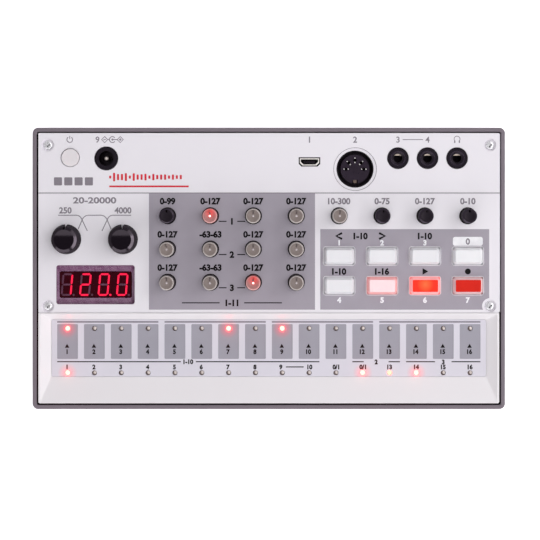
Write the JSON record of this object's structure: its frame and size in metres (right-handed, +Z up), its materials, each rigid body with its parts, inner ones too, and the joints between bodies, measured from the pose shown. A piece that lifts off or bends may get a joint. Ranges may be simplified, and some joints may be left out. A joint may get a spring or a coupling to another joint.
{
  "type": "sample sequencer",
  "caption": "Flat table-top sample sequencer with turning knobs, push keys, a lit display, a sunk touch strip, top-facing sockets and a hinged battery door.",
  "frame": {"origin": "under the middle of the case, on the surface that the feet stand on", "axes": "+X to the right along the touch strip, +Y towards the sockets, +Z up out of the control panel"},
  "size_m": [0.193, 0.115, 0.045],
  "materials": {
    "case_plastic": "fine moulded texture, dark grey",
    "panel_plastic": "smooth satin white with printed blocks",
    "bezel_plastic": "smooth satin white",
    "strip_plastic": "satin lavender grey touch sheet",
    "circuit_board": "green solder mask",
    "component_black": "moulded black housings",
    "door_plastic": "fine moulded texture, dark grey",
    "cell_wrap": "plain wrapped cells",
    "contact_metal": "plated spring metal",
    "foot_rubber": "soft rubber",
    "screw_steel": "plated steel",
    "window_tint": "plum tinted clear plastic",
    "display_black": "black display face",
    "segment_red": "lit red bars",
    "black_knob": "glossy black",
    "clear_knob": "smoky translucent",
    "key_white": "translucent white",
    "key_red": "translucent red",
    "lamp_lens": "small round lamp lenses",
    "shaft_metal": "turned metal",
    "socket_black": "moulded black",
    "socket_metal": "plated steel"
  },
  "bodies": {
    "housing": {"bottom_case": "case_plastic", "rubber_feet": "foot_rubber", "batteries": "cell_wrap", "battery_contacts": "contact_metal", "front_bezel": "bezel_plastic", "touch_strip": "strip_plastic", "step_leds": "lamp_lens", "touch_board": "circuit_board", "main_board": "circuit_board", "panel_board": "circuit_board", "board_header": "component_black", "processor_chip": "component_black", "control_panel": "panel_plastic", "display_window": "window_tint", "display_module": "display_black", "display_segments": "segment_red", "slim_pots": "component_black", "isolator_pots": "component_black", "key_switches": "component_black", "power_switch": "component_black", "dc_jack": "socket_black", "dc_pin": "socket_metal", "mini_jacks": "socket_black", "din_socket": "socket_black", "din_shield": "socket_metal", "usb_socket": "socket_metal", "usb_tongue": "socket_black", "panel_screws": "screw_steel", "case_screws": "screw_steel", "board_screws": "screw_steel"},
    "bass_knob": {"bass_knob": "black_knob", "bass_shaft": "shaft_metal"},
    "treble_knob": {"treble_knob": "black_knob", "treble_shaft": "shaft_metal"},
    "sample_knob": {"sample_knob": "black_knob"},
    "start_knob": {"start_knob": "clear_knob"},
    "length_knob": {"length_knob": "clear_knob"},
    "cut_knob": {"cut_knob": "clear_knob"},
    "tempo_knob": {"tempo_knob": "clear_knob"},
    "swing_knob": {"swing_knob": "black_knob"},
    "mix_knob": {"mix_knob": "black_knob"},
    "volume_knob": {"volume_knob": "black_knob"},
    "speed_knob": {"speed_knob": "clear_knob"},
    "pitch_depth_knob": {"pitch_depth_knob": "clear_knob"},
    "pitch_attack_knob": {"pitch_attack_knob": "clear_knob"},
    "pitch_decay_knob": {"pitch_decay_knob": "clear_knob"},
    "level_knob": {"level_knob": "clear_knob"},
    "pan_knob": {"pan_knob": "clear_knob"},
    "amp_attack_knob": {"amp_attack_knob": "clear_knob"},
    "amp_decay_knob": {"amp_decay_knob": "clear_knob"},
    "part_down_key": {"part_down_key": "key_white"},
    "part_up_key": {"part_up_key": "key_white"},
    "mute_key": {"mute_key": "key_white"},
    "func_key": {"func_key": "key_white"},
    "memory_key": {"memory_key": "key_white"},
    "step_key": {"step_key": "key_white"},
    "play_key": {"play_key": "key_red"},
    "record_key": {"record_key": "key_red"},
    "power_button": {"power_button": "key_white"},
    "battery_door": {"battery_door": "door_plastic"}
  },
  "joints": [
    {"name": "bass_turn", "type": "hinge", "parent": "housing", "child": "bass_knob", "pos_m": [-0.0826, 0.01195, 0.036], "axis": [0, 0, 1], "range_deg": [-140, 140]},
    {"name": "treble_turn", "type": "hinge", "parent": "housing", "child": "treble_knob", "pos_m": [-0.0595, 0.01195, 0.036], "axis": [0, 0, 1], "range_deg": [-140, 140]},
    {"name": "sample_turn", "type": "hinge", "parent": "housing", "child": "sample_knob", "pos_m": [-0.0413, 0.0215, 0.036], "axis": [0, 0, 1], "range_deg": [-140, 140]},
    {"name": "start_turn", "type": "hinge", "parent": "housing", "child": "start_knob", "pos_m": [-0.0238, 0.0215, 0.036], "axis": [0, 0, 1], "range_deg": [-152, 128]},
    {"name": "length_turn", "type": "hinge", "parent": "housing", "child": "length_knob", "pos_m": [-0.0063, 0.0215, 0.036], "axis": [0, 0, 1], "range_deg": [-140, 140]},
    {"name": "cut_turn", "type": "hinge", "parent": "housing", "child": "cut_knob", "pos_m": [0.0112, 0.0215, 0.036], "axis": [0, 0, 1], "range_deg": [-140, 140]},
    {"name": "tempo_turn", "type": "hinge", "parent": "housing", "child": "tempo_knob", "pos_m": [0.0287, 0.0215, 0.036], "axis": [0, 0, 1], "range_deg": [-140, 140]},
    {"name": "swing_turn", "type": "hinge", "parent": "housing", "child": "swing_knob", "pos_m": [0.0462, 0.0215, 0.036], "axis": [0, 0, 1], "range_deg": [-130, 150]},
    {"name": "mix_turn", "type": "hinge", "parent": "housing", "child": "mix_knob", "pos_m": [0.0637, 0.0215, 0.036], "axis": [0, 0, 1], "range_deg": [-130, 150]},
    {"name": "volume_turn", "type": "hinge", "parent": "housing", "child": "volume_knob", "pos_m": [0.0812, 0.0215, 0.036], "axis": [0, 0, 1], "range_deg": [-140, 140]},
    {"name": "speed_turn", "type": "hinge", "parent": "housing", "child": "speed_knob", "pos_m": [-0.0413, 0.00795, 0.036], "axis": [0, 0, 1], "range_deg": [-152, 128]},
    {"name": "pitch_depth_turn", "type": "hinge", "parent": "housing", "child": "pitch_depth_knob", "pos_m": [-0.0238, 0.00795, 0.036], "axis": [0, 0, 1], "range_deg": [-140, 140]},
    {"name": "pitch_attack_turn", "type": "hinge", "parent": "housing", "child": "pitch_attack_knob", "pos_m": [-0.0063, 0.00795, 0.036], "axis": [0, 0, 1], "range_deg": [-140, 140]},
    {"name": "pitch_decay_turn", "type": "hinge", "parent": "housing", "child": "pitch_decay_knob", "pos_m": [0.0112, 0.00795, 0.036], "axis": [0, 0, 1], "range_deg": [-140, 140]},
    {"name": "level_turn", "type": "hinge", "parent": "housing", "child": "level_knob", "pos_m": [-0.0413, -0.0056, 0.036], "axis": [0, 0, 1], "range_deg": [-140, 140]},
    {"name": "pan_turn", "type": "hinge", "parent": "housing", "child": "pan_knob", "pos_m": [-0.0238, -0.0056, 0.036], "axis": [0, 0, 1], "range_deg": [-140, 140]},
    {"name": "amp_attack_turn", "type": "hinge", "parent": "housing", "child": "amp_attack_knob", "pos_m": [-0.0063, -0.0056, 0.036], "axis": [0, 0, 1], "range_deg": [-140, 140]},
    {"name": "amp_decay_turn", "type": "hinge", "parent": "housing", "child": "amp_decay_knob", "pos_m": [0.0112, -0.0056, 0.036], "axis": [0, 0, 1], "range_deg": [-140, 140]},
    {"name": "part_down_key_press", "type": "slide", "parent": "housing", "child": "part_down_key", "axis": [0, 0, -1], "range_m": [0, 0.0008], "stiffness_N_per_m": 400, "springref_m": -0.001},
    {"name": "part_up_key_press", "type": "slide", "parent": "housing", "child": "part_up_key", "axis": [0, 0, -1], "range_m": [0, 0.0008], "stiffness_N_per_m": 400, "springref_m": -0.001},
    {"name": "mute_key_press", "type": "slide", "parent": "housing", "child": "mute_key", "axis": [0, 0, -1], "range_m": [0, 0.0008], "stiffness_N_per_m": 400, "springref_m": -0.001},
    {"name": "func_key_press", "type": "slide", "parent": "housing", "child": "func_key", "axis": [0, 0, -1], "range_m": [0, 0.0008], "stiffness_N_per_m": 400, "springref_m": -0.001},
    {"name": "memory_key_press", "type": "slide", "parent": "housing", "child": "memory_key", "axis": [0, 0, -1], "range_m": [0, 0.0008], "stiffness_N_per_m": 400, "springref_m": -0.001},
    {"name": "step_key_press", "type": "slide", "parent": "housing", "child": "step_key", "axis": [0, 0, -1], "range_m": [0, 0.0008], "stiffness_N_per_m": 400, "springref_m": -0.001},
    {"name": "play_key_press", "type": "slide", "parent": "housing", "child": "play_key", "axis": [0, 0, -1], "range_m": [0, 0.0008], "stiffness_N_per_m": 400, "springref_m": -0.001},
    {"name": "record_key_press", "type": "slide", "parent": "housing", "child": "record_key", "axis": [0, 0, -1], "range_m": [0, 0.0008], "stiffness_N_per_m": 400, "springref_m": -0.001},
    {"name": "power_button_press", "type": "slide", "parent": "housing", "child": "power_button", "axis": [0, 0, -1], "range_m": [0, 0.0012], "stiffness_N_per_m": 400, "springref_m": -0.001},
    {"name": "battery_door_hinge", "type": "hinge", "parent": "housing", "child": "battery_door", "pos_m": [0, -0.01985, 0.002], "axis": [-1, 0, 0], "range_deg": [0, 75]}
  ]
}
